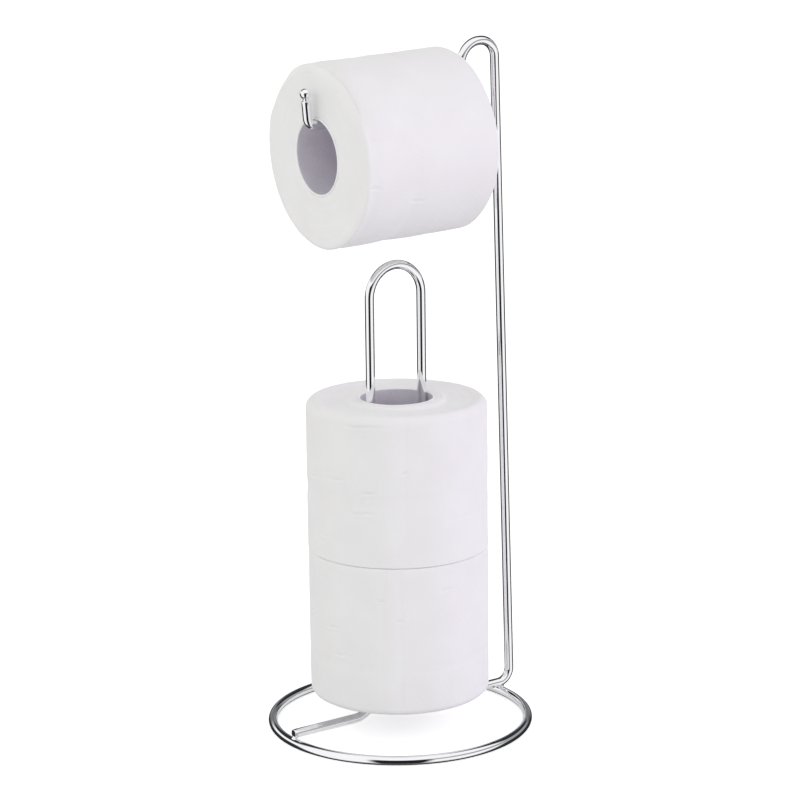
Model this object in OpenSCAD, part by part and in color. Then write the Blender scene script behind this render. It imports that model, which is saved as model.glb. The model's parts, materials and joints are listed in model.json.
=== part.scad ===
/* [Wire] */
// Diameter of the round steel wire, in the base ring and in the bent frame
wire_d = 5.8; // [4:0.1:7]
// Centreline radius of the bends at the post's foot and at the rear of the arm
bend_r = 9; // [7:0.5:14]
// Centreline radius of the bends at the spindle's feet, which the lower roll rests on
leg_bend_r = 16; // [9:0.5:20]
// Centreline radius of the tight bend that turns the arm's tip up
tip_bend_r = 5; // [4.5:0.5:8]
// How much thinner the wire's radius is in a bend, where it was stretched
bend_thinning = 0.02; // [0.01:0.01:0.05]
// Chamfer round the wire's two cut ends
end_chamfer = 0.5; // [0.2:0.1:1]

/* [Base] */
// Outside diameter of the base ring
base_d = 170; // [150:1:200]
// Film of weld metal between the ring and the wire that lies on it
weld_gap = 0.2; // [0.1:0.05:0.5]
// Diameter of the weld bead that fills the corner round each crossing
weld_d = 5.2; // [4:0.1:6]
// How far the foot's cut end runs past the middle of the ring's wire
foot_past = 0.6; // [0:0.1:2]
// How far inside the middle of the ring's wire the post's bend starts
post_bend_in = 1.8; // [0:0.1:2.5]

/* [Spindle] */
// Room between the top of the storage spindle's loop and the hung roll above it
loop_room = 13.5; // [8:0.1:30]
// Room on each side between the spindle's legs and the bore of a stored roll
core_play = 0.3; // [0.3:0.1:1.5]

/* [Post and hook] */
// Height of the top of the hook above the floor
stand_h = 436.5; // [400:0.5:480]
// Rise of the hook's top above the arm's wire, measured over the hung roll's middle
hook_rise = 43.5; // [36:0.5:60]
// Distance along the hook's top from its inner leg to the post
hook_span = 26.5; // [24:0.5:40]
// Centreline radius where the post turns over into the hook
hook_post_r = 11; // [8:0.5:14]
// Straight at the hook's top, between its two bends
hook_flat = 1; // [0.5:0.5:6]

/* [Arm] */
// Fall of the arm towards its tip, in degrees
arm_fall = 2.2; // [0:0.1:5]
// Straight arm between the roll's rear face and the bend behind it
rear_room = 4.5; // [0.5:0.5:15]
// Straight arm between the roll's front face and the bend of the tip
front_room = 1.1; // [0.1:0.1:10]
// Outward lean of the turned-up tip, in degrees
tip_lean = 5; // [0:0.5:20]
// Length of the tip from the corner of its bend to the wire's cut end
tip_len = 15.5; // [10:0.1:30]

/* [Ball tip] */
// Diameter of the ball that closes the arm's tip
ball_d = 6.8; // [6:0.1:12]
// Diameter of the neck between the wire and the ball
neck_d = 4; // [2.5:0.1:5]
// Length of neck that shows below the ball
neck_len = 0.8; // [0.4:0.1:3]

/* [Rolls] */
// Outside diameter of a full roll
roll_d = 115.4; // [90:0.2:125]
// Width of a roll across its two faces
roll_w = 96; // [90:0.5:106]
// Bore of the cardboard core
core_bore = 46; // [38:0.5:50]
// Wall of the cardboard core
core_wall = 1.2; // [0.6:0.1:2]
// Rounding of the roll's outer edges
edge_r = 4.5; // [1:0.5:8]
// Rounding of the paper where it meets the core
mouth_r = 0.8; // [0.4:0.1:2]
// Middle of the hung roll, in front of the base's centre
hung_x = -9; // [-14:0.5:0]
// Swing of the hung roll across its arm, in degrees
hung_swing = 2; // [0:0.5:5]

/* [Clearances] */
// Gap between the arm and the hung core, where the core lies on it at its two ends
hang_gap = 0.25; // [0.1:0.05:0.5]
// Lift of the lower roll above the point where it would touch the legs' bends
seat_gap = 0.4; // [0.2:0.1:1]
// Gap between the two stored rolls
stack_gap = 0.3; // [0.1:0.1:1]

/* [Hidden] */

// Facets of the wire's section, and of the larger rounds
wire_fn = 48;
round_fn = 144;
// Straights shorter than this are left out, where two bends meet
shortest = 0.01;
// How far a straight's full thickness reaches into the bends at its ends
grip = 0.1;

wire_r = wire_d / 2;
core_r = core_bore / 2;
paper_r = core_r + core_wall;
roll_r = roll_d / 2;

// The foot and the cross wire lie on top of the ring
ring_r = base_d / 2 - wire_r;
cross_z = wire_d + weld_gap + wire_r;

// The spindle's legs stand just inside a core's bore
leg_x = core_r - core_play - wire_r;

// A core's lower rim would meet the hollow side of the legs' bends at this height.
// The bends' hollow side is a circle of inner_r, which the bore cuts at seat_angle.
inner_r = leg_bend_r - wire_r;
seat_angle = acos(1 - core_play / inner_r);
lower_z = cross_z + leg_bend_r - inner_r * sin(seat_angle) + seat_gap;
upper_z = lower_z + roll_w + stack_gap;

// Distances along the arm, from the hung roll's middle to the corners at its two ends
arm_h = stand_h - hook_rise;
rear_reach = roll_w / 2 + rear_room + bend_r * tan((90 - arm_fall) / 2);
tip_reach = roll_w / 2 + front_room + tip_bend_r * tan((90 - tip_lean + arm_fall) / 2);
tip_x = arm_point(-tip_reach)[0];
tip_z = arm_point(-tip_reach)[1];

// The hung roll's centre lies below the arm, and the spindle's loop ends below the roll.
// The core swings about its middle, so that it lies on the arm at its two ends.
end_swing = roll_w / 2 * sin(hung_swing);
hung_drop = sqrt(pow(core_r - wire_r - hang_gap, 2) - pow(end_swing, 2));
hung_z = arm_h - hung_drop * cos(arm_fall);
spindle_z = hung_z - roll_r - loop_room - wire_r;

// The post leans from its foot, just outside the ring, to the hook
post_x = ring_r + bend_r - post_bend_in;
hook_z = stand_h - wire_r;
hook_leg_x = arm_point(rear_reach)[0];
hook_post_x = hook_leg_x + hook_span;
post_turn = atan2(hook_z - cross_z, post_x - hook_post_x);
hook_leg_r = hook_span - hook_flat - hook_post_r * tan(post_turn / 2);

// The wire as its bender reads it: each corner's place, and the radius it is bent to.
// It starts at the foot's cut end and stops at the tip's.
wire_corners = [
    [-ring_r - foot_past, cross_z, 0],
    [-leg_x, cross_z, leg_bend_r],
    [-leg_x, spindle_z, leg_x],
    [leg_x, spindle_z, leg_x],
    [leg_x, cross_z, leg_bend_r],
    [post_x, cross_z, bend_r],
    [hook_post_x, hook_z, hook_post_r],
    [hook_leg_x, hook_z, hook_leg_r],
    [hook_leg_x, arm_point(rear_reach)[1], bend_r],
    [tip_x, tip_z, tip_bend_r],
    tip_point(tip_len)
];
last = len(wire_corners) - 1;

// A point on the line of the arm, at a distance behind the middle of the hung roll
function arm_point(distance) = [
    hung_x + distance * cos(arm_fall),
    arm_h + distance * sin(arm_fall)
];
// A point on the line of the tip, at a distance from the corner of its bend
function tip_point(distance) = [
    tip_x - distance * sin(tip_lean),
    tip_z + distance * cos(tip_lean),
    0
];

// Place of a corner in the plane of the wire
function place(i) = [wire_corners[i][0], wire_corners[i][1]];
// Direction of the wire from corner i to the next
function heading(i) =
    let (step = place(i + 1) - place(i))
    atan2(step[1], step[0]);
// Signed angle that the wire turns through at corner i, left turns positive
function turn(i) =
    let (change = heading(i) - heading(i - 1))
    change > 180 ? change - 360 : change < -180 ? change + 360 : change;
// Length of wire line that the bend takes on each side of its corner
function setback(i) = i == 0 || i == last ? 0 : wire_corners[i][2] * tan(abs(turn(i)) / 2);
// Length of the straight from the end of bend i to the start of the next
function straight(i) = norm(place(i + 1) - place(i)) - setback(i) - setback(i + 1);

// Round bar along +X, with its two ends chamfered by the sizes given
module bar(length, start_cut, end_cut) {
    rotate([0, 90, 0]) {
        if (start_cut > 0)
            cylinder(h = start_cut, r1 = wire_r - start_cut, r2 = wire_r, $fn = wire_fn);
        translate([0, 0, start_cut])
            cylinder(h = length - start_cut - end_cut, r = wire_r, $fn = wire_fn);
        if (end_cut > 0)
            translate([0, 0, length - end_cut])
                cylinder(h = end_cut, r1 = wire_r, r2 = wire_r - end_cut, $fn = wire_fn);
    }
}

// The wire from the end of bend i to its far end, as a wire bender feeds it: a straight along
// +X, then a turn to the left (+Y) or to the right, and the rest from where that turn ends
module wire_from(i) {
    before = i == 0 ? 0 : grip;
    after = i == last - 1 ? 0 : grip;
    if (straight(i) > shortest)
        translate([-before, 0, 0])
            bar(straight(i) + before + after, i == 0 ? end_chamfer : 0, i == last - 1 ? end_chamfer : 0);
    if (i < last - 1)
        translate([straight(i), 0, 0]) {
            bend(i + 1);
            past_bend(i + 1) wire_from(i + 1);
        }
}

// One bend of the wire: a sector of a ring, from the frame in which the bend starts. It is
// drawn as a left turn, and a right turn is its mirror image.
module bend(i) {
    radius = wire_corners[i][2];
    mirror([0, turn(i) < 0 ? 1 : 0, 0])
        translate([0, radius, 0])
            rotate([0, 0, -90])
                rotate_extrude(angle = abs(turn(i)), $fn = round_fn)
                    translate([radius, 0])
                        circle(r = wire_r - bend_thinning, $fn = wire_fn);
}

// Carries its children from the frame in which bend i starts to the one in which it ends
module past_bend(i) {
    reach = sign(turn(i)) * wire_corners[i][2];
    translate([0, reach, 0])
        rotate([0, 0, turn(i)])
            translate([0, -reach, 0])
                children();
}

// The whole bent wire, drawn flat and then stood up in the plane of the post and spindle
module bent_wire() {
    rotate([90, 0, 0])
        translate([wire_corners[0][0], wire_corners[0][1], 0])
            rotate([0, 0, heading(0)])
                wire_from(0);
}

module ring() {
    translate([0, 0, wire_r])
        rotate_extrude($fn = round_fn)
            translate([ring_r, 0])
                circle(r = wire_r, $fn = wire_fn);
}

// Weld metal that fills the corner between the ring and the wire that crosses it
module weld(x) {
    difference() {
        translate([x, 0, wire_r])
            cylinder(h = cross_z - wire_r, r = weld_d / 2, $fn = wire_fn);
        ring();
        bent_wire();
    }
}

// Cardboard tube that the paper is wound on, along +Z
module core() {
    difference() {
        cylinder(h = roll_w, r = paper_r, $fn = round_fn);
        translate([0, 0, -roll_w / 2])
            cylinder(h = 2 * roll_w, r = core_r, $fn = round_fn);
    }
}

// Section of the wound paper: a block with its outer and inner corners rounded
module paper_section() {
    for (end = [0, 1])
        translate([0, end * roll_w])
            mirror([0, end])
                union() {
                    translate([paper_r + mouth_r, 0])
                        square([roll_r - edge_r - paper_r - mouth_r, roll_w / 2]);
                    translate([paper_r, mouth_r])
                        square([mouth_r, roll_w / 2 - mouth_r]);
                    translate([roll_r - edge_r, edge_r])
                        square([edge_r, roll_w / 2 - edge_r]);
                    translate([paper_r + mouth_r, mouth_r])
                        circle(r = mouth_r, $fn = wire_fn);
                    translate([roll_r - edge_r, edge_r])
                        circle(r = edge_r, $fn = wire_fn);
                }
}

// Paper wound on its core, along +Z
module paper() {
    rotate_extrude($fn = round_fn)
        paper_section();
}

// Hangs a roll on the arm that is drawn along +Z from its lower face
module hung_place() {
    translate([hung_x, 0, arm_h])
        rotate([0, -arm_fall, 0])
            translate([0, 0, -hung_drop])
                rotate([0, 0, -hung_swing])
                    rotate([0, 90, 0])
                        translate([0, 0, -roll_w / 2])
                            children();
}

module base_ring() {
    color("silver") ring();
}

module frame_wire() {
    color("silver") bent_wire();
}

// Ball on a short neck, which stands on the wire's cut end in line with the tip
module tip_ball() {
    seat = tip_point(tip_len);
    neck = neck_len + ball_d / 2;
    color("silver")
        translate([seat[0], 0, seat[1]])
            rotate([0, -tip_lean, 0]) {
                cylinder(h = neck, r = neck_d / 2, $fn = wire_fn);
                translate([0, 0, neck])
                    sphere(r = ball_d / 2, $fn = wire_fn);
            }
}

module front_weld() {
    color("silver") weld(-ring_r);
}

module rear_weld() {
    color("silver") weld(ring_r);
}

module hung_roll_core() {
    color("lightgray") hung_place() core();
}

module hung_roll_paper() {
    color("white") hung_place() paper();
}

module lower_roll_core() {
    color("lightgray") translate([0, 0, lower_z]) core();
}

module lower_roll_paper() {
    color("white") translate([0, 0, lower_z]) paper();
}

module upper_roll_core() {
    color("lightgray") translate([0, 0, upper_z]) core();
}

module upper_roll_paper() {
    color("white") translate([0, 0, upper_z]) paper();
}

base_ring();
frame_wire();
tip_ball();
front_weld();
rear_weld();
hung_roll_core();
hung_roll_paper();
lower_roll_core();
lower_roll_paper();
upper_roll_core();
upper_roll_paper();
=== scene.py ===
# %% [markdown]
# # A wire stand for three toilet rolls
# The stand is one ring of round wire on the floor and one long bent wire that is welded
# across it. The bent wire makes a loop that two stored rolls stand on, a tall post, a hook,
# and an arm with a ball on its turned-up tip, which a third roll hangs from.
#
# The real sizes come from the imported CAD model, which is loaded first as a fixed frame.
# Everything below is fitted to it. Sizes are written in millimetres, as in the CAD source,
# and become metres in one place, the function that makes a mesh.

import json
import math

import bpy
import numpy as np
from mathutils import Matrix

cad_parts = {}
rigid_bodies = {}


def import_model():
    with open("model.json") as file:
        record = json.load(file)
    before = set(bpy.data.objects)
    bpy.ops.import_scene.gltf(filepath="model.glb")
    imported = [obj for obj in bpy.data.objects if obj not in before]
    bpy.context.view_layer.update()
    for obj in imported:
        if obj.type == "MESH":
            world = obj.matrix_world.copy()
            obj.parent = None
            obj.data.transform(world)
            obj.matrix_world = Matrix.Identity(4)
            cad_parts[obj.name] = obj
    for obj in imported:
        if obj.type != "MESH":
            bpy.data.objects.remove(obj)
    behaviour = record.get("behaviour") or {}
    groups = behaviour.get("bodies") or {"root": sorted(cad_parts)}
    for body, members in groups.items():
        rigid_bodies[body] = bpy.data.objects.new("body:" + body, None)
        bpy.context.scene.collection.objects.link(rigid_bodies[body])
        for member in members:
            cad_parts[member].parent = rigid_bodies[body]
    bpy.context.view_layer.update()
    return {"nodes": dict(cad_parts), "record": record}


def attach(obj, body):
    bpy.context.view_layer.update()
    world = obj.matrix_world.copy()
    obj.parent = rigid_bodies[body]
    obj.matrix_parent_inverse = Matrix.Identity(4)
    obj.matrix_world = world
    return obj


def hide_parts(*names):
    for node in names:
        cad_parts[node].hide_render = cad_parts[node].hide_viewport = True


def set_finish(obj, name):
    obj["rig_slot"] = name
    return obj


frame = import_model()
scene = bpy.context.scene
MM = 0.001
print("nodes in the frame:", sorted(frame["nodes"]))

# %% [markdown]
# ## The camera
# The photograph was taken with a long lens from the left front, a little above the hung
# roll's middle. The place, the tilt and the lens were found by fitting the ring, the wires
# and the rolls to the picture. A camera is best made first, because the lamps and the room
# that the chrome reflects are placed by how they lie to it.

# %% Camera
CAMERA_PLACE = (-0.99566, -1.39143, 0.61318)
CAMERA_TURN = math.radians(-35.66)
CAMERA_PITCH = math.radians(13.18)
CAMERA_ROLL = math.radians(-0.68)

photo_view = bpy.data.cameras.new("photo_view")
photo_view.lens = 125.65
photo_view.sensor_width = 36
photo_view.clip_end = 40
camera = bpy.data.objects.new("photo_view", photo_view)
camera.matrix_world = (
    Matrix.Translation(CAMERA_PLACE)
    @ Matrix.Rotation(CAMERA_TURN, 4, "Z")
    @ Matrix.Rotation(math.pi / 2 - CAMERA_PITCH, 4, "X")
    @ Matrix.Rotation(CAMERA_ROLL, 4, "Z")
)
scene.collection.objects.link(camera)
scene.camera = camera
scene.view_settings.view_transform = "Standard"
bpy.context.view_layer.update()
print("camera axes:", [[round(v, 4) for v in row] for row in camera.matrix_world])

# %% [markdown]
# ## From a grid of points to a mesh
# Every new piece is a surface worked out with numpy: an array of points with rows and
# columns. A tube is such a grid with its columns joined into rings, a ball has its rows
# closed at two poles, and a ring of wire is joined both ways. One function turns any of
# them into a mesh. It also stores a second set of coordinates with each point, measured
# along the piece itself, so that a pattern can follow a bend or a roll.

# %% Helper: a mesh over a grid
def skin(name, points, wrap=(False, False), poles=(None, None), own=None, own_poles=None):
    """Mesh over points[row, column], which are in millimetres.

    Face (i, j) joins rows i, i + 1 and columns j, j + 1. wrap closes rows and columns on
    themselves, and a pole closes the first or last row with a fan to one point. The sum of
    each triangle's corner triple product gives the volume, and if that is negative the
    faces are turned round. own[row, column] are the piece's own coordinates.
    """
    rows, columns = points.shape[:2]
    i, j = np.meshgrid(
        np.arange(rows if wrap[0] else rows - 1),
        np.arange(columns if wrap[1] else columns - 1),
        indexing="ij",
    )
    i, j = i.ravel(), j.ravel()
    at = lambda r, c: (r % rows) * columns + c % columns
    quads = np.stack([at(i, j), at(i + 1, j), at(i + 1, j + 1), at(i, j + 1)], 1)
    vertices = points.reshape(-1, 3)
    marks = (points if own is None else own).reshape(-1, 3)
    fans = []
    ring = np.arange(columns if wrap[1] else columns - 1)
    for end, row in enumerate((0, rows - 1)):
        pole = poles[end]
        if pole is None:
            continue
        tip = np.full(ring.size, len(vertices))
        vertices = np.vstack([vertices, pole])
        marks = np.vstack([marks, pole if own_poles is None else own_poles[end]])
        fan = np.stack([tip, at(row, ring), at(row, ring + 1)], 1)
        fans.append(fan[:, ::-1] if end else fan)
    fans = np.vstack(fans) if fans else np.zeros((0, 3), int)
    triangles = np.vstack([quads[:, [0, 1, 2]], quads[:, [0, 2, 3]], fans])
    a, b, c = (vertices[triangles[:, k]] for k in range(3))
    volume = (a * np.cross(b, c)).sum() / 6
    if volume < 0:
        quads, fans = quads[:, ::-1], fans[:, ::-1]

    mesh = bpy.data.meshes.new(name)
    mesh.vertices.add(len(vertices))
    mesh.vertices.foreach_set("co", (vertices * MM).ravel())
    corners = np.concatenate([quads.ravel(), fans.ravel()])
    sides = np.concatenate([np.full(len(quads), 4), np.full(len(fans), 3)])
    mesh.loops.add(len(corners))
    mesh.loops.foreach_set("vertex_index", corners)
    mesh.polygons.add(len(sides))
    mesh.polygons.foreach_set("loop_start", np.concatenate([[0], np.cumsum(sides)[:-1]]))
    mesh.polygons.foreach_set("loop_total", sides)
    mesh.polygons.foreach_set("use_smooth", np.ones(len(sides), bool))
    mesh.update(calc_edges=True)
    mesh.validate()
    along = mesh.attributes.new("own_space", "FLOAT_VECTOR", "POINT")
    along.data.foreach_set("vector", (marks * MM).ravel())
    piece = bpy.data.objects.new(name, mesh)
    scene.collection.objects.link(piece)
    print(f"{name}: {len(quads) * 2 + len(fans)} triangles, {abs(volume) / 1000:.2f} cm3")
    return piece


def fit(piece, body, slot, *nodes):
    """The piece moves with a body, takes a finish, and stands for CAD nodes."""
    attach(piece, body)
    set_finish(piece, slot)
    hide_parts(*nodes)

# %% [markdown]
# ## The line of the bent wire
# On a real bender the wire is fed straight and then turned round a die, again and again.
# The shape is known once each corner's place and bend radius are known. A Bezier curve
# with a bevel could be drawn along it, but its arcs are only nearly round and its rings
# bunch up in the bends. Here the line is worked out exactly: a straight, an arc, a
# straight, with the distance along the wire kept for every point.

# %% Sizes of the stand
WIRE_R = 2.9
# The ring's middle line, and the height at which the bent wire crosses it
RING_R = 82.1
CROSS_Z = 8.9
FOOT_PAST = 0.6
# The loop: where its legs stand, the bends at their feet, and its top
LEG_X = 19.8
LEG_BEND_R = 16
SPINDLE_Z = 299.135
# The post and the hook. The hook is round at the post, then flat for HOOK_FLAT
POST_X = 89.3
BEND_R = 9
HOOK_Z = 433.6
HOOK_SPAN = 26.5
HOOK_FLAT = 1
HOOK_POST_R = 11
# A roll, and the arm that runs REAR_ROOM and FRONT_ROOM past it before it bends
ROLL_R = 57.7
ROLL_W = 96
ARM_MIDDLE = np.array([-9, 393.0])
ARM_FALL = math.radians(2.2)
REAR_ROOM = 4.5
FRONT_ROOM = 1.1
TIP_BEND_R = 5
TIP_LENGTH = 15.5
TIP_LEAN = math.radians(5)

# %% Corners of the wire
rear_turn = math.pi / 2 - ARM_FALL
tip_turn = math.pi / 2 - TIP_LEAN + ARM_FALL
rear_reach = ROLL_W / 2 + REAR_ROOM + BEND_R * math.tan(rear_turn / 2)
tip_reach = ROLL_W / 2 + FRONT_ROOM + TIP_BEND_R * math.tan(tip_turn / 2)
arm_way = np.array([math.cos(ARM_FALL), math.sin(ARM_FALL)])
rear_corner = ARM_MIDDLE + arm_way * rear_reach
tip_corner = ARM_MIDDLE - arm_way * tip_reach
tip_end = tip_corner + TIP_LENGTH * np.array([-math.sin(TIP_LEAN), math.cos(TIP_LEAN)])
post_top_x = rear_corner[0] + HOOK_SPAN
post_angle = math.atan2(HOOK_Z - CROSS_Z, POST_X - post_top_x)
hook_leg_r = HOOK_SPAN - HOOK_FLAT - HOOK_POST_R * math.tan(post_angle / 2)

# Each corner is x, z and the radius of its bend
wire_corners = np.array([
    [-RING_R - FOOT_PAST, CROSS_Z, 0],
    [-LEG_X, CROSS_Z, LEG_BEND_R],
    [-LEG_X, SPINDLE_Z, LEG_X],
    [LEG_X, SPINDLE_Z, LEG_X],
    [LEG_X, CROSS_Z, LEG_BEND_R],
    [POST_X, CROSS_Z, BEND_R],
    [post_top_x, HOOK_Z, HOOK_POST_R],
    [rear_corner[0], HOOK_Z, hook_leg_r],
    [*rear_corner, BEND_R],
    [*tip_corner, TIP_BEND_R],
    [*tip_end, 0],
])
print(f"corners of the wire: {len(wire_corners)}, of which {len(wire_corners) - 2} are bends")

# %% Line of the wire
def bent_line(corners, straight_step=3.0, arc_step=math.radians(4)):
    """Points, headings and distances along a line with rounded corners.

    A corner that turns by t with radius r starts its arc r * tan(t / 2) before the corner.
    The arc's centre lies r to the side that it turns to, and each arc point is the centre
    plus r times the normal turned back by the angle still to go.
    """
    place, radius = corners[:, :2], corners[:, 2]
    step = np.diff(place, axis=0)
    heading = np.unwrap(np.arctan2(step[:, 1], step[:, 0]))
    turn = np.diff(heading)
    back = np.concatenate([[0], radius[1:-1] * np.tan(np.abs(turn) / 2), [0]])
    points, headings = [], []
    for k in range(len(step)):
        way = np.array([np.cos(heading[k]), np.sin(heading[k])])
        start, end = place[k] + way * back[k], place[k + 1] - way * back[k + 1]
        run = np.linalg.norm(end - start)
        t = np.linspace(0, 1, max(2, int(run / straight_step)) + 1)[:, None]
        points.append(start + t * (end - start))
        headings.append(np.full(len(t), heading[k]))
        if k == len(step) - 1:
            break
        side = np.sign(turn[k])
        n = max(3, int(abs(turn[k]) / arc_step))
        a = heading[k] + turn[k] * np.linspace(0, 1, n + 1)[1:-1]
        centre = end + side * radius[k + 1] * np.array([-way[1], way[0]])
        points.append(centre + side * radius[k + 1] * np.stack([np.sin(a), -np.cos(a)], 1))
        headings.append(a)
    points, headings = np.vstack(points), np.concatenate(headings)
    gap = np.linalg.norm(np.diff(points, axis=0), axis=1)
    keep = np.concatenate([[True], gap > 1e-4])
    distance = np.concatenate([[0], np.cumsum(gap)])
    return points[keep], headings[keep], distance[keep]


line, heading, distance = bent_line(wire_corners)
print(f"the bent wire is {distance[-1] / 1000:.3f} m long, {len(line)} rings of points")

# %% [markdown]
# ## The bent wire
# A tube is a circle carried along the line. Because the whole wire lies in one upright
# plane, the circle needs no twist: one of its axes is always across that plane, and the
# other is the line's normal in it. The cut foot end is broken with a small chamfer, as a
# cut wire is, so its circle shrinks over the first half millimetre.

# %% Bent wire
AROUND = 48


def tube(line, heading, distance, radius, around=AROUND):
    """P(s, a) = C(s) + r(s) * (cos a * N(s) + sin a * Y), N the normal in the XZ plane."""
    a = np.linspace(0, 2 * np.pi, around, endpoint=False)
    centre = np.stack([line[:, 0], np.zeros(len(line)), line[:, 1]], 1)
    normal = np.stack([-np.sin(heading), np.zeros(len(line)), np.cos(heading)], 1)
    across = np.array([0, 1, 0])
    spoke = np.cos(a)[None, :, None] * normal[:, None] + np.sin(a)[None, :, None] * across
    own = np.stack(np.broadcast_arrays(
        distance[:, None], radius[:, None] * np.cos(a), radius[:, None] * np.sin(a)), -1)
    return centre[:, None] + radius[:, None, None] * spoke, own


# Chamfer at the foot end: distances from the cut, and how far each circle is pulled in
cut_at = np.array([0, 0.06, 0.2, 0.5])
cut_in = np.array([0.62, 0.36, 0.14, 0])
start, end = line[0], line[-1]
way_in = np.array([np.cos(heading[0]), np.sin(heading[0])])
way_out = np.array([np.cos(heading[-1]), np.sin(heading[-1])])
wire_line = np.vstack([start + cut_at[:, None] * way_in, line[1:-1],
                       end - cut_at[::-1, None] * way_out])
wire_heading = np.concatenate([np.full(cut_at.size, heading[0]), heading[1:-1],
                               np.full(cut_at.size, heading[-1])])
wire_distance = np.concatenate([cut_at, distance[1:-1], distance[-1] - cut_at[::-1]])
wire_radius = np.concatenate([WIRE_R - cut_in, np.full(len(line) - 2, WIRE_R),
                              WIRE_R - cut_in[::-1]])
wire_points, wire_own = tube(wire_line, wire_heading, wire_distance, wire_radius)
bent_wire = skin(
    "bent_wire", wire_points, wrap=(False, True),
    poles=((start[0], 0, start[1]), (end[0], 0, end[1])),
    own=wire_own, own_poles=((0, 0, 0), (distance[-1], 0, 0)),
)
fit(bent_wire, "stand", "chromed_wire", "frame_wire")

# %% [markdown]
# ## The base ring
# The ring is the same wire, rolled to a circle and butt-welded, ground and plated so that
# the join is gone. It is a torus: a circle carried round a circle.

# %% Base ring
def torus(big, small, height, rows=288, around=AROUND):
    """P(t, a) = (big + small cos a) (cos t, sin t) outward, and height + small sin a up."""
    t = np.linspace(0, 2 * np.pi, rows, endpoint=False)[:, None]
    a = np.linspace(0, 2 * np.pi, around, endpoint=False)[None, :]
    out = big + small * np.cos(a)
    up = height + small * np.sin(a) + 0 * t
    own = np.stack(np.broadcast_arrays(big * t, small * np.cos(a), small * np.sin(a)), -1)
    return np.stack([out * np.cos(t), out * np.sin(t), up], -1), own


ring_points, ring_own = torus(RING_R, WIRE_R, WIRE_R)
base_ring = skin("base_ring_wire", ring_points, wrap=(True, True), own=ring_own)
fit(base_ring, "stand", "chromed_wire", "base_ring")

# %% [markdown]
# ## The ball on the arm's tip
# The arm's cut end is turned down to a neck and carries a small ball, so that nobody is
# scratched by it and a roll is kept on. Neck and ball are one turned form: a profile spun
# round the line of the tip, with a hollow fillet at the neck's foot.

# %% Ball and neck
BALL_R = 3.4
NECK_R = 2.0
NECK_LENGTH = 0.8
FILLET_R = 0.5
ball_up = NECK_LENGTH + BALL_R


def turned_profile():
    """Radius and height: out over the wire's end, up the neck, then round the ball.

    The fillet is a quarter circle, and the ball is a circle that starts just inside the
    neck's radius.
    """
    q = np.linspace(0, np.pi / 2, 6)
    foot = np.stack([NECK_R + FILLET_R * (1 - np.sin(q)), FILLET_R * (1 - np.cos(q))], 1)
    start = math.asin(NECK_R * 0.96 / BALL_R)
    a = np.linspace(np.pi - start, 0, 30)[:-1]
    ball = np.stack([BALL_R * np.sin(a), ball_up + BALL_R * np.cos(a)], 1)
    return np.vstack([foot, ball])


profile = turned_profile()
spin = np.linspace(0, 2 * np.pi, 40, endpoint=False)
out, up = profile[:, 0][:, None], profile[:, 1][:, None]
lean = np.array([-math.sin(TIP_LEAN), 0, math.cos(TIP_LEAN)])
sideways = np.array([math.cos(TIP_LEAN), 0, math.sin(TIP_LEAN)])
seat = np.array([tip_end[0], 0, tip_end[1]])
ball_points = (
    seat
    + (out * np.cos(spin))[..., None] * sideways
    + (out * np.sin(spin))[..., None] * np.array([0, 1, 0])
    + (up + 0 * spin)[..., None] * lean
)
arm_ball = skin("arm_ball", ball_points, wrap=(False, True),
                poles=(seat, seat + (ball_up + BALL_R) * lean))
fit(arm_ball, "stand", "chromed_wire", "tip_ball")

# %% [markdown]
# ## The two weld beads
# Where the bent wire crosses the ring the two are fused, and a little metal is squeezed out
# into the corner between them before the whole stand is chromed. A bead is a saddle: its
# lower edge lies on the ring's round back, its upper edge on the underside of the wire
# above, and between them its waist is drawn in. It is one surface in two parameters, the
# angle round the crossing and the way up from ring to wire.

# %% Weld beads
BEAD_REACH = 2.35
# How far a bead's rims are sunk in the wires
BEAD_SINK = 0.12
# How much narrower the waist is than the rims, and how far the rims waver
BEAD_WAIST = 0.22
BEAD_WAVE = 0.07
# At a free end: how far short of the cut the bead stays, and how far it climbs
SHORT_OF_CUT = 0.15
BEAD_CLIMB = 1.9


def bead(x, free_end, seed):
    """Between L(a) on the ring and U(a) on the wire, the bead narrows to a waist.

    At angle a and reach p the ring's top is at r + sqrt(r^2 - dx^2), where dx counts from
    the ring's own curve, and the wire's underside at cross - sqrt(r^2 - dy^2). Half way up
    the reach is less by BEAD_WAIST. free_end is how far the wire runs past the crossing, on
    the outside, or None where it doesn't end. Round a free end the bead climbs the cut.
    """
    rough = np.random.default_rng(seed)
    a = np.linspace(0, 2 * np.pi, 40, endpoint=False)[None, :]
    t = np.linspace(0, 1, 14)[:, None]
    wave = sum(BEAD_WAVE * np.sin(k * a + rough.uniform(0, 6.3)) for k in (2, 3, 5, 7))
    reach = BEAD_REACH + wave
    dy = reach * np.sin(a)
    low_x = x + reach * np.cos(a)
    from_ring = np.hypot(low_x, dy) - RING_R
    low_z = WIRE_R + np.sqrt(np.maximum(WIRE_R ** 2 - from_ring ** 2, 0)) - BEAD_SINK
    high_x, climb = low_x, 0
    if free_end is not None:
        outside = np.sign(x)
        last = free_end - SHORT_OF_CUT
        high_x = np.where(outside * (low_x - x) > last, x + outside * last, low_x)
        climb = BEAD_CLIMB * np.maximum(outside * np.cos(a) - 0.2, 0)
    high_z = CROSS_Z - np.sqrt(np.maximum(WIRE_R ** 2 - dy ** 2, 0)) + BEAD_SINK + climb
    pinch = 1 - BEAD_WAIST * np.sin(np.pi * t) ** 0.8
    px = x + ((low_x - x) * (1 - t) + (high_x - x) * t) * pinch
    py = dy * pinch
    pz = low_z * (1 - t) + high_z * t
    return np.stack(np.broadcast_arrays(px, py, pz), -1)


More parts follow.
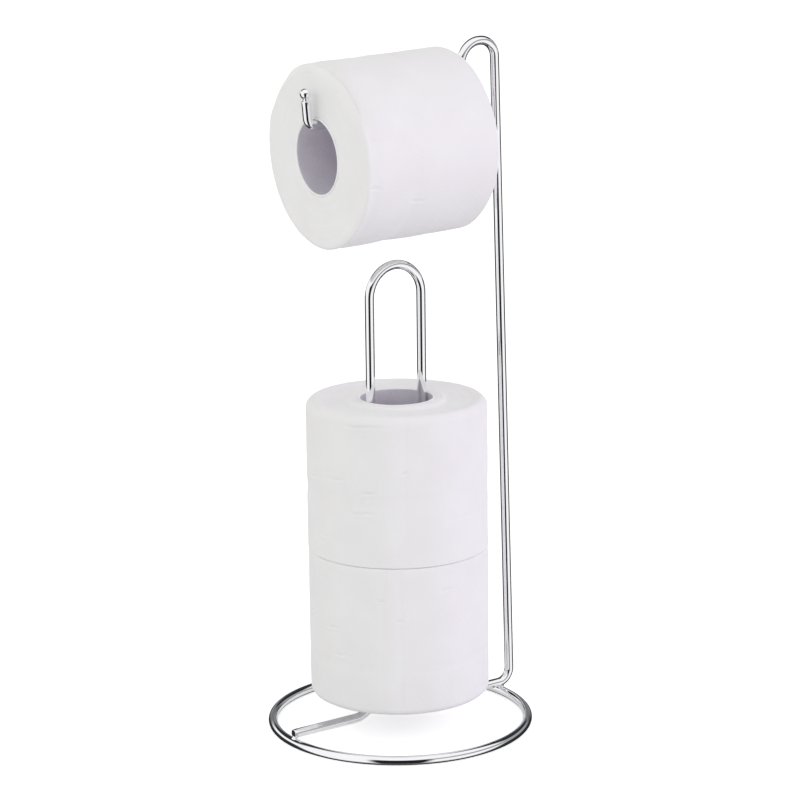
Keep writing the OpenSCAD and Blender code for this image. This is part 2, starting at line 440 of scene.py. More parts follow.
for label, x, past, seed in (("front", -RING_R, FOOT_PAST, 3), ("rear", RING_R, None, 8)):
    points = bead(x, past, seed)
    low, high = points[0].mean(0), points[-1].mean(0)
    piece = skin(f"{label}_bead", points, wrap=(False, True), poles=(low, high))
    fit(piece, "stand", "chromed_wire", f"{label}_weld")

# %% [markdown]
# ## The wound paper
# A roll is a long sheet wound on a cardboard tube. Its sheets are far too thin to make one
# by one, so the roll is one closed surface: a section is carried round the roll's axis.
# The section goes up the side, over a rounded edge, in across the end, round the mouth,
# and down the wall that lies on the core. On top of that come the things that make paper
# look like paper: it is wound with a little slack, the last sheet ends in a low step, the
# sheet is embossed, the ends show the edges of the windings, and hands leave creases.

# %% Section of a roll
CORE_R = 23
PAPER_R = 24.2


def arc(centre, radius, start, stop, count):
    """Quarter circle in the section, without its last point."""
    a = np.radians(np.linspace(start, stop, count, endpoint=False))
    return np.stack([centre[0] + radius * np.cos(a), centre[1] + radius * np.sin(a)], 1)


def run(start, stop, count):
    """Straight run in the section, without its last point."""
    t = np.linspace(0, 1, count, endpoint=False)[:, None]
    return np.array(start) * (1 - t) + np.array(stop) * t


def paper_section(low_edge, high_edge, mouth=0.5):
    """Closed loop of (radius, height), from the foot of the side, upwards and inwards.

    low_edge, high_edge and mouth are the radii of its rounded corners.
    """
    parts = [
        run((ROLL_R, low_edge), (ROLL_R, ROLL_W - high_edge), 134),
        arc((ROLL_R - high_edge, ROLL_W - high_edge), high_edge, 0, 90, 9),
        run((ROLL_R - high_edge, ROLL_W), (PAPER_R + mouth, ROLL_W), 36),
        arc((PAPER_R + mouth, ROLL_W - mouth), mouth, 90, 180, 4),
        run((PAPER_R, ROLL_W - mouth), (PAPER_R, mouth), 10),
        arc((PAPER_R + mouth, mouth), mouth, 180, 270, 4),
        run((PAPER_R + mouth, 0), (ROLL_R - low_edge, 0), 36),
        arc((ROLL_R - low_edge, low_edge), low_edge, 270, 360, 9),
    ]
    return np.vstack(parts)


print("points in a section:", len(paper_section(2.6, 2.6)))

# %% Waves and steps
def smooth_step(low, high, x):
    """0 below low, 1 above high, and 3 t^2 - 2 t^3 between."""
    t = np.clip((x - low) / (high - low), 0, 1)
    return t * t * (3 - 2 * t)


def ripple(x, lengths, rng):
    """Sum of sines of the given wavelengths with free phases, scaled to about -1 to 1."""
    waves = [np.sin(2 * np.pi * x / length + rng.uniform(0, 2 * np.pi)) for length in lengths]
    return sum(waves) / math.sqrt(len(waves))


def turns(*counts):
    """Wavelengths that fit into one turn the given numbers of times."""
    return [2 * np.pi / count for count in counts]

# %% [markdown]
# ## Marks of handling
# Tissue keeps every knock. Three kinds show in the photograph: short creases, mostly round
# the stored rolls and along the hung one, a flat where the hung roll was pressed in its
# pack, and one stretch of its front corner that is rubbed soft. They could be sculpted by
# hand, but as formulas they stay where they are when the roll's size changes.

# %% Creases, flats and a worn corner
# A worn corner: its place round the roll in degrees, the round that it is worn towards, and
# how much of the way there it is worn
WORN_AT = -33
WORN_R = 11.0
WORN_SHARE = 0.85
# A round leaves the diagonal of a sharp corner at this share of its radius from each side
DIAGONAL = 0.293


def turned_from(t, degrees):
    """How far the angle t is turned from an angle in degrees, between -pi and pi."""
    return np.mod(t - math.radians(degrees) + np.pi, 2 * np.pi) - np.pi


def creased(t, height, creases):
    """Depth of the creases: each is a sharp valley with a low ridge beside it.

    The valley is exp(-(d / 0.65)^2), with d the distance across the crease, whose line
    wavers a little. exp(-(2 s / length)^4), with s the distance along it, ends it.
    """
    total = 0
    for angle, at, length, depth, runs_round in creases:
        round_it, up_it = turned_from(t, angle) * ROLL_R, height - at
        along, across = (round_it, up_it) if runs_round else (up_it, round_it)
        off = across - 0.05 * along - 0.25 * np.sin(along / 2.3)
        valley = 1.8 * np.exp(-(off / 0.65) ** 2)
        ridge = 0.5 * np.exp(-((off + 1.5) / 0.9) ** 2)
        total = total + depth * np.exp(-(along / (length / 2)) ** 4) * (valley - ridge + 0.5)
    return total


def pressed(t, flats):
    """Depth of the flats: each is depth * exp(-(turn / spread)^4)."""
    return sum(depth * np.exp(-(turned_from(t, angle) / math.radians(spread)) ** 4)
               for angle, spread, depth in flats)


def worn(t, radius, height):
    """Depth of the worn corner: E - sqrt(E^2 - (E - e)^2) at the distance e from the corner.

    It fades out between 0.3 and 0.72 radians to each side of its place.
    """
    from_corner = np.maximum(ROLL_R - radius, ROLL_W - height)
    from_corner = np.clip(from_corner, DIAGONAL * WORN_R, WORN_R)
    deep = WORN_R - np.sqrt(WORN_R ** 2 - (WORN_R - from_corner) ** 2)
    return WORN_SHARE * smooth_step(0.72, 0.3, np.abs(turned_from(t, WORN_AT))) * deep


print(f"a corner worn to {WORN_R} mm loses {WORN_SHARE * DIAGONAL * WORN_R:.1f} mm")

# %% Form of the paper
# One sheet with its embossing is about 0.3 mm thick
SHEET = 0.3
BUMPS_ROUND = 72
BUMP_DEPTH = 0.05
# A rim rounded by less than this lies against another roll, so it draws in but stays level
SOFT_RIM = 2
# The hollow in an end: radii between which it starts, and between which it ends
HOLLOW_IN = (28.5, 32)
HOLLOW_OUT = (53, 45)


def wound_paper(edges, creases, tail, hollow, flats, handled, seed, rows=384):
    """Local points (x, y, h) of a roll that stands on its end, axis along h.

    The section is carried round by angle t. Each point then moves along the section's own
    outward normal by the sum of: the winding, which loses one sheet a turn from the tail's
    edge on; slack, low waves round the side; embossing, a diamond field of shallow pillows;
    the marks of handling; and on the ends the edges of the windings, waves of radius that
    wander a little with the angle, and a hollow between the mouth and the rim. Depths and
    wavelengths are in millimetres, except those that fit into a turn.

    edges are the rounds of the low and the high rim, tail is where the last sheet ends, in
    degrees, hollow is the depth of the hollow, and handled is True where a corner is worn.
    """
    rng = np.random.default_rng(seed)
    loop = paper_section(*edges)
    along = np.roll(loop, -1, 0) - np.roll(loop, 1, 0)
    normal = np.stack([along[:, 1], -along[:, 0]], 1)
    normal /= np.linalg.norm(normal, axis=1)[:, None]
    radius, height = loop[:, 0][None, :], loop[:, 1][None, :]
    t = np.linspace(0, 2 * np.pi, rows, endpoint=False)[:, None]

    # How much a point belongs to the side, to the mouth, and to the flat of an end
    side = smooth_step(ROLL_R - 5, ROLL_R - 0.3, radius)
    inner = smooth_step(PAPER_R + 2.5, PAPER_R + 0.2, radius)
    face = (1 - side) * (1 - smooth_step(PAPER_R + 1.0, PAPER_R, radius))

    winding = -SHEET * np.mod(t - math.radians(tail), 2 * np.pi) / (2 * np.pi)
    round_it, up_it = t * BUMPS_ROUND, height * BUMPS_ROUND / ROLL_R
    pillow = np.cos((round_it + up_it) / 2) ** 2 * np.cos((round_it - up_it) / 2) ** 2
    slack = 0.16 * (ripple(t, turns(2, 3, 5), rng) - 1.2)
    slack = slack + 0.10 * (ripple(height + 9 * np.sin(t), (67, 43, 29), rng)
                            * ripple(t, turns(4, 7, 9), rng) - 1)
    marks = creased(t, height, creases) + pressed(t, flats)
    of_side = side * (winding - BUMP_DEPTH * (1 - pillow) + slack - marks)

    wander = 0.8 * ripple(t, turns(1, 2, 3), rng)
    rings = 0.07 * ripple(radius + wander, (9.3, 5.1, 3.4), rng) - 0.16
    rings = rings + 0.03 * ripple(radius + 0.6 * wander, (2.3, 1.7), rng)
    sunk = (smooth_step(*HOLLOW_IN, radius - wander)
            * smooth_step(*HOLLOW_OUT, radius - wander))
    sunk = hollow * sunk * (1 + 0.4 * ripple(t, turns(1, 2, 3), rng))
    pucker = 0.25 * inner * (ripple(t, turns(5, 8, 13), rng) - 1)
    of_ends = face * (rings - sunk) + pucker - handled * worn(t, radius, height)

    level_rim = np.where(height < ROLL_W / 2, *edges) < SOFT_RIM
    out = radius + (of_side + of_ends) * normal[:, 0][None, :]
    up = height + (of_side * ~level_rim + of_ends) * normal[:, 1][None, :]
    # The wall that lies on the core stays where it is
    out = np.where(radius <= PAPER_R + 1e-6, PAPER_R, out)
    return np.stack(np.broadcast_arrays(out * np.cos(t), out * np.sin(t), up), -1)

# %% Where the marks are
# Creases: angle round the roll, height, length, depth, and True where it runs round
upper_creases = [
    (-147, 89, 24, 0.55, True), (-167, 53.5, 15, 0.45, True), (-121, 60.6, 4, 0.5, True),
    (-144, 47, 10, 0.5, True), (-148, 34, 15, 0.55, True), (-148, 41, 9, 0.3, False),
    (168, 51, 16, 0.35, True), (-177, 15.6, 12, 0.35, True), (-80, 28, 12, 0.2, True),
    (-20, 38, 14, 0.3, True), (60, 66, 18, 0.3, True), (115, 40, 12, 0.3, False),
]
lower_creases = [
    (-136, 75, 5, 0.5, True), (-125, 62.3, 4, 0.5, True), (-173, 53.5, 12, 0.45, True),
    (161, 57.8, 5, 0.4, True), (-166, 36.7, 9, 0.45, True), (-150, 30, 6, 0.35, False),
    (-95, 80, 8, 0.25, True), (-30, 66, 14, 0.3, True), (40, 30, 16, 0.3, True),
    (100, 60, 12, 0.3, True),
]
hung_creases = [
    (-73.6, 91, 5, 0.45, False), (-103.5, 90, 8, 0.5, False), (-117, 57, 11, 0.45, False),
    (-84, 60, 7, 0.25, False), (-62, 30, 14, 0.2, False), (30, 48, 20, 0.3, False),
    (100, 66, 16, 0.3, False), (160, 30, 14, 0.3, True),
]
# Flats where the hung roll was pressed in its pack: angle, spread in degrees and depth
hung_flats = [(47, 17, 1.7), (-150, 24, 0.6)]
print("creases:", len(upper_creases) + len(lower_creases) + len(hung_creases))

# %% [markdown]
# ## The cardboard core
# The tube is two or three strips of grey board wound in a spiral and glued. The edges of
# the innermost strip leave one shallow helical groove down the bore. The tube is a closed
# section carried round an axis too, and the groove is a narrow bell whose place round the
# tube moves on with the height.

# %% Form of a core
# The rims of the tube are broken a little: so far inwards, and so far down
RIM_IN = 0.25
RIM_DOWN = 0.4
STRIP_ANGLE = math.radians(25)
GROOVE_DEPTH = 0.22
GROOVE_HALF = 0.9


def tube_section():
    """Closed loop of (radius, height): up the bore, over the rim, down the outside."""
    inside, outside = CORE_R + RIM_IN, PAPER_R - RIM_IN
    return np.vstack([
        run((CORE_R, RIM_DOWN), (CORE_R, ROLL_W - RIM_DOWN), 100),
        run((CORE_R, ROLL_W - RIM_DOWN), (inside, ROLL_W), 2),
        run((inside, ROLL_W), (outside, ROLL_W), 3),
        run((outside, ROLL_W), (PAPER_R, ROLL_W - RIM_DOWN), 2),
        run((PAPER_R, ROLL_W - RIM_DOWN), (PAPER_R, RIM_DOWN), 6),
        run((PAPER_R, RIM_DOWN), (outside, 0), 2),
        run((outside, 0), (inside, 0), 3),
        run((inside, 0), (CORE_R, RIM_DOWN), 2),
    ])


def wound_tube(seed, rows=216):
    """Local points of a core. The strip's pitch along the tube is 2 pi r tan(angle)."""
    rng = np.random.default_rng(seed)
    loop = tube_section()
    radius, height = loop[:, 0][None, :], loop[:, 1][None, :]
    t = np.linspace(0, 2 * np.pi, rows, endpoint=False)[:, None]
    bore = smooth_step(CORE_R + 0.3, CORE_R, radius)
    lead = 2 * np.pi * CORE_R * math.tan(STRIP_ANGLE)
    past = np.mod(height / lead - t / (2 * np.pi) + 0.5 + rng.uniform(), 1) - 0.5
    groove = GROOVE_DEPTH * np.exp(-(past * lead / GROOVE_HALF) ** 2)
    out = radius + bore * (groove - 0.06)
    return np.stack(np.broadcast_arrays(out * np.cos(t), out * np.sin(t), height + 0 * t), -1)

# %% [markdown]
# ## The three rolls
# Each roll is made standing on its end at the origin, and one function then puts it in its
# place, so that all three share one form. They could be copies of one mesh, but in the
# photograph no two are alike: they differ in their rims, creases and wear. The coordinates
# from before the move are kept, so that a pattern goes with its roll.

# %% Three rolls in place
# From the CAD model: how far the hung roll's axis lies under the arm and is swung across it
HUNG_DROP = 19.7792
HUNG_SWING = math.radians(2)
# The heights of the stored rolls' lower faces
LOWER_Z = 22.5125
UPPER_Z = 118.8125


def stand_at(z):
    """A roll on its end, its lower face at height z."""
    return lambda p: p + np.array([0, 0, z])


def hang(p):
    """A roll on its side: its own height runs from the rear face towards the arm's tip.

    It is swung a little across the arm, dropped until its core lies on the wire, and
    tipped with the arm.
    """
    x, y, z = ROLL_W / 2 - p[..., 2], p[..., 1], p[..., 0]
    c, s = math.cos(HUNG_SWING), math.sin(HUNG_SWING)
    x, y, z = c * x + s * y, c * y - s * x, z - HUNG_DROP
    c, s = math.cos(ARM_FALL), math.sin(ARM_FALL)
    return np.stack([ARM_MIDDLE[0] + c * x - s * z, y, ARM_MIDDLE[1] + s * x + c * z], -1)


rolls = {
    "hung": dict(place=hang, edges=(2.6, 2.6), creases=hung_creases, tail=150, hollow=0.25,
                 flats=hung_flats, handled=True, seed=5),
    "lower": dict(place=stand_at(LOWER_Z), edges=(4.5, 1.9), creases=lower_creases, tail=80,
                  hollow=0.2, flats=[], handled=False, seed=11),
    "upper": dict(place=stand_at(UPPER_Z), edges=(0.8, 5.5), creases=upper_creases, tail=40,
                  hollow=1.9, flats=[], handled=False, seed=23),
}
for name, roll in rolls.items():
    # The rest of the entry is what wound_paper asks for
    place = roll.pop("place")
    form = wound_paper(**roll)
    paper = skin(f"{name}_paper", place(form), wrap=(True, True), own=form)
    fit(paper, f"{name}_roll", "tissue_paper", f"{name}_roll_paper")
    form = wound_tube(roll["seed"] + 1)
    core = skin(f"{name}_core", place(form), wrap=(True, True), own=form)
    fit(core, f"{name}_roll", "core_board", f"{name}_roll_core")

# %% [markdown]
# ## Materials
# There are three finishes. Each is built from nodes and reads the coordinates that are
# stored with the piece, so its pattern follows the wire or the winding. Colours are
# written as the hex values that a painter would pick, and one function turns them into the
# linear values that Blender wants.

# %% Helpers for colours and nodes
def linear(hex_colour):
    """c / 12.92 up to 0.04045, and ((c + 0.055) / 1.055) ^ 2.4 above it, for each channel."""
    c = np.array([int(hex_colour[k:k + 2], 16) for k in (1, 3, 5)]) / 255
    c = np.where(c <= 0.04045, c / 12.92, ((c + 0.055) / 1.055) ** 2.4)
    return (*c.tolist(), 1.0)


def add(tree, kind, inputs=None, **settings):
    """Adds a node, sets its options, and gives each input a value or a link."""
    node = tree.nodes.new("ShaderNode" + kind)
    for key, value in settings.items():
        setattr(node, key, value)
    for key, value in (inputs or {}).items():
        if isinstance(value, bpy.types.NodeSocket):
            tree.links.new(value, node.inputs[key])
        else:
            node.inputs[key].default_value = value
    return node


def blank(name):
    """A material and its node tree, which is emptied."""
    material = bpy.data.materials.new(name)
    material.use_nodes = True
    material.node_tree.nodes.clear()
    return material, material.node_tree


print("mid grey in linear light:", round(linear("#808080")[0], 4))

# %% [markdown]
# ### Polished chrome on drawn wire
# Steel wire is drawn through a die, which leaves very fine lines along it. It is bent,
# welded, polished and then plated with nickel and a thin bright layer of chromium. To the
# eye it is a mirror with a slightly cold tint, and the lines only show as a faint
# unsteadiness in the long reflections. The drawing lines are 0.05 mm apart on the real
# wire. That is too fine to show, so they are drawn 0.4 mm apart and 30 mm long.

# %% Chrome
LINE_LENGTH = 30 * MM
LINE_SPACING = 0.4 * MM
FILM_PATCH = 18 * MM

chrome, tree = blank("polished_chrome_on_drawn_steel_wire")
place = add(tree, "Attribute", attribute_name="own_space").outputs["Vector"]
per_line = (1 / LINE_LENGTH, 1 / LINE_SPACING, 1 / LINE_SPACING)
drawn = add(tree, "VectorMath", {0: place, 1: per_line}, operation="MULTIPLY").outputs["Vector"]
lines = add(tree, "TexNoise", {"Vector": drawn, "Scale": 1.0, "Detail": 2.0}).outputs["Fac"]
where = add(tree, "TexCoord").outputs["Object"]
film = add(tree, "TexNoise", {"Vector": where, "Scale": 1 / FILM_PATCH, "Detail": 3.0})
film = film.outputs["Fac"]
rough = add(tree, "MapRange", {"Value": film, "To Min": 0.03, "To Max": 0.06}).outputs["Result"]
tint = add(tree, "MixRGB", {"Fac": film, "Color1": linear("#F1F2F4"),
                            "Color2": linear("#FAFAFB")}).outputs["Color"]
relief = add(tree, "Bump", {"Height": lines, "Strength": 0.05, "Distance": 0.00002})
shader = add(tree, "BsdfPrincipled", {"Base Color": tint, "Metallic": 1.0, "Roughness": rough,
                                      "Normal": relief.outputs["Normal"]})
add(tree, "OutputMaterial", {"Surface": shader.outputs["BSDF"]})
print(f"chrome: drawing lines {LINE_SPACING / MM:.1f} mm apart, {LINE_LENGTH / MM:.0f} mm long")

# %% [markdown]
# ### Toilet tissue
# Tissue is creped: it is scraped off its drying cylinder, which leaves tiny folds across
# the sheet's length. On a roll they run along the axis. Real folds are about 0.2 mm apart
# and are drawn 0.5 mm apart here. On the ends the sheets' edges show as fine rings, drawn
# 0.7 mm apart. The paper is a dull, very slightly violet white, with painted shade that makes
# it a little deeper in the hollows of the folds and rings, and cloudy patches about 26 mm
# across where the fibres lie thinner.

# %% Patterns of the tissue
CREPE_SPACING = 0.5 * MM
CREPE_LENGTH = 6 * MM
RING_SPACING = 0.7 * MM
RING_PATCH = 20 * MM
RING_WANDER = 2.2
FIBRE = 0.7 * MM
PATCH = 26 * MM
half_width = ROLL_W / 2 * MM

tissue, tree = blank("creped_white_tissue_paper")
place = add(tree, "Attribute", attribute_name="own_space").outputs["Vector"]
split = add(tree, "SeparateXYZ", {"Vector": place}).outputs
# 1 on the two ends, where the sheets' edges show, and 0 on the side
near_end = add(tree, "Math", {0: split["Z"], 1: half_width}, operation="SUBTRACT").outputs["Value"]
near_end = add(tree, "Math", {0: near_end}, operation="ABSOLUTE").outputs["Value"]
on_end = add(tree, "MapRange", {"Value": near_end, "From Min": half_width - 2.2 * MM,
                                "From Max": half_width - 0.6 * MM},
             interpolation_type="SMOOTHSTEP").outputs["Result"]
# Folds of the crepe on the side: narrow round the roll and long along it
per_fold = (1 / CREPE_SPACING, 1 / CREPE_SPACING, 1 / CREPE_LENGTH)
crepe_at = add(tree, "VectorMath", {0: place, 1: per_fold}, operation="MULTIPLY").outputs["Vector"]
crepe = add(tree, "TexNoise", {"Vector": crepe_at, "Scale": 1.0, "Detail": 3.0}).outputs["Fac"]
# Rings on the ends: noise of the radius alone, which wanders by RING_WANDER rings
flat = add(tree, "CombineXYZ", {"X": split["X"], "Y": split["Y"]}).outputs["Vector"]
radius = add(tree, "VectorMath", {0: flat}, operation="LENGTH").outputs["Value"]
wander = add(tree, "TexNoise", {"Vector": place, "Scale": 1 / RING_PATCH, "Detail": 2.0})
ring_at = add(tree, "Math", {0: radius, 1: 1 / RING_SPACING}, operation="MULTIPLY")
ring_at = add(tree, "Math", {0: wander.outputs["Fac"], 1: RING_WANDER,
                             2: ring_at.outputs["Value"]}, operation="MULTIPLY_ADD")
rings = add(tree, "TexNoise", {"W": ring_at.outputs["Value"], "Scale": 1.0, "Detail": 1.0},
            noise_dimensions="1D").outputs["Fac"]
grain = add(tree, "Mix", {"Factor": on_end, "A": crepe, "B": rings}).outputs["Result"]
fibres = add(tree, "TexNoise", {"Vector": place, "Scale": 1 / FIBRE, "Detail": 4.0,
                                "Roughness": 0.65}).outputs["Fac"]
clouds = add(tree, "TexNoise", {"Vector": place, "Scale": 1 / PATCH, "Detail": 2.0,
                                "Roughness": 0.45}).outputs["Fac"]
print(f"tissue: folds {CREPE_SPACING / MM:.1f} mm, rings {RING_SPACING / MM:.1f} mm apart")

# %% Tissue
tone = add(tree, "Math", {0: clouds, 1: 0.7}, operation="MULTIPLY").outputs["Value"]
# Painted shade: grain is also the height of the bump below, so this share makes the colour deeper
# in the hollows of the folds and rings.
tone = add(tree, "Math", {0: grain, 1: 0.3, 2: tone}, operation="MULTIPLY_ADD").outputs["Value"]
tone = add(tree, "MapRange", {"Value": tone, "From Min": 0.3, "From Max": 0.7}).outputs["Result"]
colour = add(tree, "MixRGB", {"Fac": tone, "Color1": linear("#F0EFF1"),
                              "Color2": linear("#F4F4F6")}).outputs["Color"]
rough = add(tree, "MapRange", {"Value": fibres, "To Min": 0.86, "To Max": 0.98}).outputs["Result"]
coarse = add(tree, "Bump", {"Height": grain, "Strength": 0.35, "Distance": 0.18 * MM})
fine = add(tree, "Bump", {"Height": fibres, "Strength": 0.25, "Distance": 0.1 * MM,
                          "Normal": coarse.outputs["Normal"]})
shader = add(tree, "BsdfPrincipled", {
    "Base Color": colour, "Roughness": rough, "Specular IOR Level": 0.25,
    "Sheen Weight": 0.08, "Sheen Roughness": 0.6, "Normal": fine.outputs["Normal"],
})
add(tree, "OutputMaterial", {"Surface": shader.outputs["BSDF"]})
print("tissue:", len(tree.nodes), "nodes")

# %% [markdown]
# ### Grey core board
# The core is made of recycled fibre: a soft pale grey with darker and lighter flecks, dull.
# A painted highlight turns the board near white along each end where the tube was cut to
# length. The flecks are 1 to 2 mm long on the real board and are drawn at that size.

# %% Core board
FLECK = 1.4 * MM
BOARD_PATCH = 12 * MM

board, tree = blank("grey_recycled_core_board")
place = add(tree, "Attribute", attribute_name="own_space").outputs["Vector"]
flecks = add(tree, "TexNoise", {"Vector": place, "Scale": 1 / FLECK, "Detail": 4.0,
                                "Roughness": 0.7}).outputs["Fac"]
clouds = add(tree, "TexNoise", {"Vector": place, "Scale": 1 / BOARD_PATCH, "Detail": 2.0})
tone = add(tree, "Math", {0: flecks, 1: 0.55}, operation="MULTIPLY").outputs["Value"]
tone = add(tree, "Math", {0: clouds.outputs["Fac"], 1: 0.45, 2: tone},
           operation="MULTIPLY_ADD").outputs["Value"]
tone = add(tree, "MapRange", {"Value": tone, "From Min": 0.32, "From Max": 0.68}).outputs["Result"]
colour = add(tree, "MixRGB", {"Fac": tone, "Color1": linear("#CFCBD5"),
                              "Color2": linear("#DEDAE4")}).outputs["Color"]
height = add(tree, "SeparateXYZ", {"Vector": place}).outputs["Z"]
near_end = add(tree, "Math", {0: height, 1: half_width}, operation="SUBTRACT").outputs["Value"]
near_end = add(tree, "Math", {0: near_end}, operation="ABSOLUTE").outputs["Value"]
# Painted highlight: within 0.7 mm of each end the board turns near white, standing in for the light
# rim of the cut edge.
painted_rim_highlight = add(tree, "MapRange", {"Value": near_end, "From Min": half_width - 0.7 * MM,
                                  "From Max": half_width - 0.3 * MM}).outputs["Result"]
colour = add(tree, "MixRGB", {"Fac": painted_rim_highlight, "Color1": colour,
                              "Color2": linear("#F8F7F9")}).outputs["Color"]
relief = add(tree, "Bump", {"Height": flecks, "Strength": 0.3, "Distance": 0.12 * MM})
shader = add(tree, "BsdfPrincipled", {
    "Base Color": colour, "Roughness": 0.92, "Specular IOR Level": 0.3,
    "Normal": relief.outputs["Normal"],
})
add(tree, "OutputMaterial", {"Surface": shader.outputs["BSDF"]})
print(f"core board: flecks {FLECK / MM:.1f} mm")

# %% [markdown]
# ### Which piece gets which finish
# The new pieces and the CAD nodes that they stand for carry the same slot names, so one
# table from slot to material dresses both.

# %% Finishes
finishes = {"chromed_wire": chrome, "tissue_paper": tissue, "core_board": board}
for piece in bpy.data.objects:
    if piece.type == "MESH" and "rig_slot" in piece:
        piece.data.materials.clear()
        piece.data.materials.append(finishes[piece["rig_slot"]])
for entry in frame["record"]["subparts"]:
    cad = frame["nodes"][entry["node"]]
    cad.data.materials.clear()
    cad.data.materials.append(finishes[entry["material_slot"]])
print("finishes:", {slot: material.name for slot, material in finishes.items()})

# %% [markdown]
# ## Floor
# The photograph is on pure white with hardly any shadow. The floor is a matt white disc.
# For the camera it gives off part of its white by itself, so that it meets the white
# background without a line and still shows the object's soft shadow. Reflections see it as
# a table that ends under the base ring: in the photograph the ring's thin edges are dark
# all round, as they are on a chromed wire that mirrors what lies beyond a table.

# %% Floor
FLOOR_RADIUS = 9000
TABLE_EDGE = (78.5, 80.5)
# Light of its own that the camera sees, and the share of it that reflections see
OWN_LIGHT = 0.56
GLOSSY_SHARE = 0.35

sweep = np.linspace(0, 2 * np.pi, 96, endpoint=False)
reach = np.array([400, 2000, FLOOR_RADIUS])[:, None]
floor_points = np.stack(np.broadcast_arrays(
    reach * np.cos(sweep), reach * np.sin(sweep), 0 * reach), -1)
floor = skin("floor", floor_points, wrap=(False, True), poles=((0, 0, 0), None))
white_floor, tree = blank("matt_white_studio_floor")
path = add(tree, "LightPath").outputs
place = add(tree, "TexCoord").outputs["Object"]
grain = add(tree, "TexNoise", {"Vector": place, "Scale": 60.0}).outputs["Fac"]
white = add(tree, "MixRGB", {"Fac": grain, "Color1": linear("#E9E9EA"),
                             "Color2": linear("#EDEDEE")}).outputs["Color"]
matt = add(tree, "BsdfDiffuse", {"Color": white}).outputs["BSDF"]
seen = add(tree, "Math", {0: path["Is Glossy Ray"], 1: GLOSSY_SHARE, 2: path["Is Camera Ray"]},
           operation="MULTIPLY_ADD").outputs["Value"]
strength = add(tree, "Math", {0: seen, 1: OWN_LIGHT}, operation="MULTIPLY").outputs["Value"]
own = add(tree, "Emission", {"Color": (1, 1, 1, 1), "Strength": strength}).outputs["Emission"]
both = add(tree, "AddShader", {0: matt, 1: own}).outputs["Shader"]
from_middle = add(tree, "VectorMath", {0: place}, operation="LENGTH").outputs["Value"]
beyond = add(tree, "MapRange", {"Value": from_middle, "From Min": TABLE_EDGE[0] * MM,
                                "From Max": TABLE_EDGE[1] * MM}).outputs["Result"]
beyond = add(tree, "Math", {0: beyond, 1: path["Is Glossy Ray"]},
             operation="MULTIPLY").outputs["Value"]
clear = add(tree, "BsdfTransparent").outputs["BSDF"]
table = add(tree, "MixShader", {0: beyond, 1: both, 2: clear}).outputs["Shader"]
add(tree, "OutputMaterial", {"Surface": table})
floor.data.materials.append(white_floor)
print(f"floor: {FLOOR_RADIUS / 1000:.0f} m, for reflections {TABLE_EDGE[1]} mm")

# %% [markdown]
# ## Background
# The world has three faces. The camera sees pure white. Matt surfaces get a light that is
# even round the horizon and weaker from straight above. Reflections see a room: white to
# the left, grey low down on the right, dark at the camera's side, which is the dark line
# down the middle of every upright wire, and dark far behind the object, which is the thin
# edge of every wire. The dot product of a direction with a side says how far it points
# there, and smooth steps of that, multiplied, mark off a wall.

# %% Walls of the room
CAMERA_SIDE = (math.sin(CAMERA_TURN), -math.cos(CAMERA_TURN), 0)
RIGHT_SIDE = (math.cos(CAMERA_TURN), math.sin(CAMERA_TURN), 0)
FAR_SIDE = (-math.sin(CAMERA_TURN) * math.cos(CAMERA_PITCH),
            math.cos(CAMERA_TURN) * math.cos(CAMERA_PITCH), -math.sin(CAMERA_PITCH))

world = bpy.data.worlds.new("white_studio")
scene.world = world
world.use_nodes = True
tree = world.node_tree
tree.nodes.clear()
way = add(tree, "TexCoord").outputs["Generated"]
up = add(tree, "SeparateXYZ", {"Vector": way}).outputs["Z"]
level = add(tree, "VectorMath", {0: way, 1: (1, 1, 0)}, operation="MULTIPLY").outputs["Vector"]
level = add(tree, "VectorMath", {0: level}, operation="NORMALIZE").outputs["Vector"]
near, right, away = [
    add(tree, "VectorMath", {0: value, 1: side}, operation="DOT_PRODUCT").outputs["Value"]
    for value, side in ((level, CAMERA_SIDE), (level, RIGHT_SIDE), (way, FAR_SIDE))
]
# Each wall is a product of steps, and each step runs from 0 at low to 1 at high
walls = {}
for name, steps in {
    "front": ((near, 0.86, 0.94), (up, -0.93, -0.86), (up, 0.42, 0.32)),
    "low_band": ((up, -0.10, 0.15), (up, 0.50, 0.35)),
    "right": ((up, -0.10, 0.15), (up, 0.50, 0.35), (right, 0.2, 0.45)),
    "pale_patch": ((away, 0.80, 0.89), (up, -0.06, 0.16)),
    "below": ((up, -0.72, -0.95),),
}.items():
    walls[name] = 1.0
    for value, low, high in steps:
        step = add(tree, "MapRange", {"Value": value, "From Min": low, "From Max": high},
                   interpolation_type="SMOOTHSTEP").outputs["Result"]
        walls[name] = add(tree, "Math", {0: walls[name], 1: step},
                          operation="MULTIPLY").outputs["Value"]
# The far side is dark, and less of it is in the low band
lessened = add(tree, "Math", {0: walls["low_band"], 1: 0.62}, operation="MULTIPLY").outputs["Value"]
behind = add(tree, "Math", {0: away, 1: lessened}, operation="SUBTRACT").outputs["Value"]
walls["behind"] = add(tree, "MapRange", {"Value": behind, "From Min": 0.0, "From Max": 0.26},
                      interpolation_type="SMOOTHSTEP").outputs["Result"]
print("walls of the room:", list(walls))

# %% World
path = add(tree, "LightPath").outputs
far_wall = add(tree, "MixRGB", {"Fac": walls["pale_patch"], "Color1": linear("#2E2F33"),
                                "Color2": linear("#8A8B8F")}).outputs["Color"]
room = linear("#FFFFFF")
for share, colour in (
    (walls["below"], linear("#6E6F73")),
    (walls["right"], linear("#9B9C9F")),
    (walls["behind"], far_wall),
    (walls["front"], linear("#222226")),
    (path["Is Camera Ray"], (1, 1, 1, 1)),
):
    room = add(tree, "MixRGB", {"Fac": share, "Color1": room, "Color2": colour}).outputs["Color"]
shown = add(tree, "Background", {"Color": room, "Strength": 1.0}).outputs["Background"]
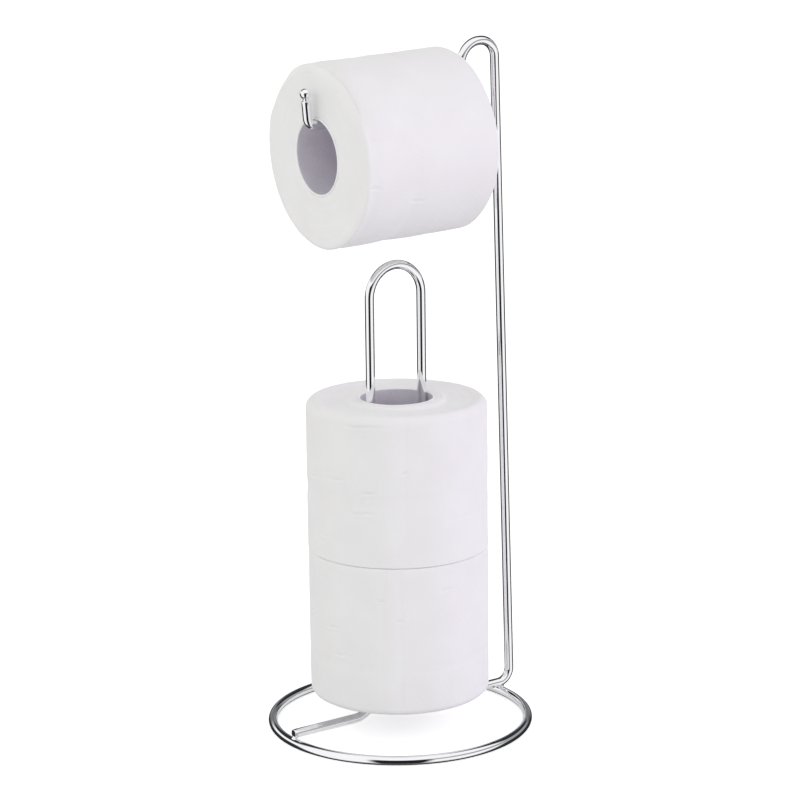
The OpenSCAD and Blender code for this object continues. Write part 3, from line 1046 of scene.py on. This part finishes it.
# Matt surfaces get a little over 1 from the horizon and less from above
sky = add(tree, "MapRange", {"Value": up, "From Min": 0.35, "From Max": 0.85, "To Min": 1.09,
                             "To Max": 0.61}, interpolation_type="SMOOTHSTEP").outputs["Result"]
lit = add(tree, "Background", {"Color": linear("#FFFFFB"), "Strength": sky})
direct = add(tree, "Math", {0: path["Is Camera Ray"], 1: path["Is Glossy Ray"]},
             operation="ADD").outputs["Value"]
direct = add(tree, "Math", {0: direct, 1: path["Is Transmission Ray"]},
             operation="ADD", use_clamp=True).outputs["Value"]
choice = add(tree, "MixShader", {0: direct, 1: lit.outputs["Background"], 2: shown})
add(tree, "OutputWorld", {"Surface": choice.outputs["Shader"]})
print("world:", len(tree.nodes), "nodes")

# %% [markdown]
# ## Lamps
# The light in the photograph is nearly even: a white room with a little less light from
# straight above, and one large panel far to the right, which gives the right side of each
# roll its cool lavender white. A small panel in front of the hung roll lifts the light in
# its core. Both are left out of reflections, because the room gives the chrome its lines.

# %% Lamps
# Half way up the object
MIDDLE = np.array([0, 0, 0.22])


def from_camera(angle, elevation, distance):
    """A place that lies angle degrees to the right of the camera, seen from the object.

    The middle plus distance times (sin a cos e, -cos a cos e, sin e).
    """
    a, e = CAMERA_TURN + math.radians(angle), math.radians(elevation)
    way = (math.sin(a) * math.cos(e), -math.cos(a) * math.cos(e), math.sin(e))
    return np.array(way) * distance + MIDDLE


def hang_lamp(label, place, target, size, watts, tint):
    """A lamp of the given size that looks from place at target."""
    lamp = bpy.data.lights.new(label, "AREA")
    lamp.shape = "RECTANGLE"
    lamp.size, lamp.size_y = size
    lamp.energy = watts
    lamp.color = linear(tint)[:3]
    panel = bpy.data.objects.new(label, lamp)
    panel.location = place
    back = np.array(place) - np.array(target)
    panel.rotation_euler = (math.atan2(math.hypot(back[0], back[1]), back[2]), 0,
                            math.atan2(back[0], -back[1]))
    panel.visible_camera = False
    panel.visible_glossy = False
    scene.collection.objects.link(panel)
    print(f"{label}: {watts} W over {size[0] * size[1]:.2f} m2")


hang_lamp("right_panel", from_camera(76, 13, 2.4), MIDDLE, (1.9, 2.4), 15.0, "#E7CDFF")
hang_lamp("face_panel", (-0.50, -0.03, 0.70), (-0.05, 0, 0.37), (0.3, 0.3), 0.22, "#FFFFFF")
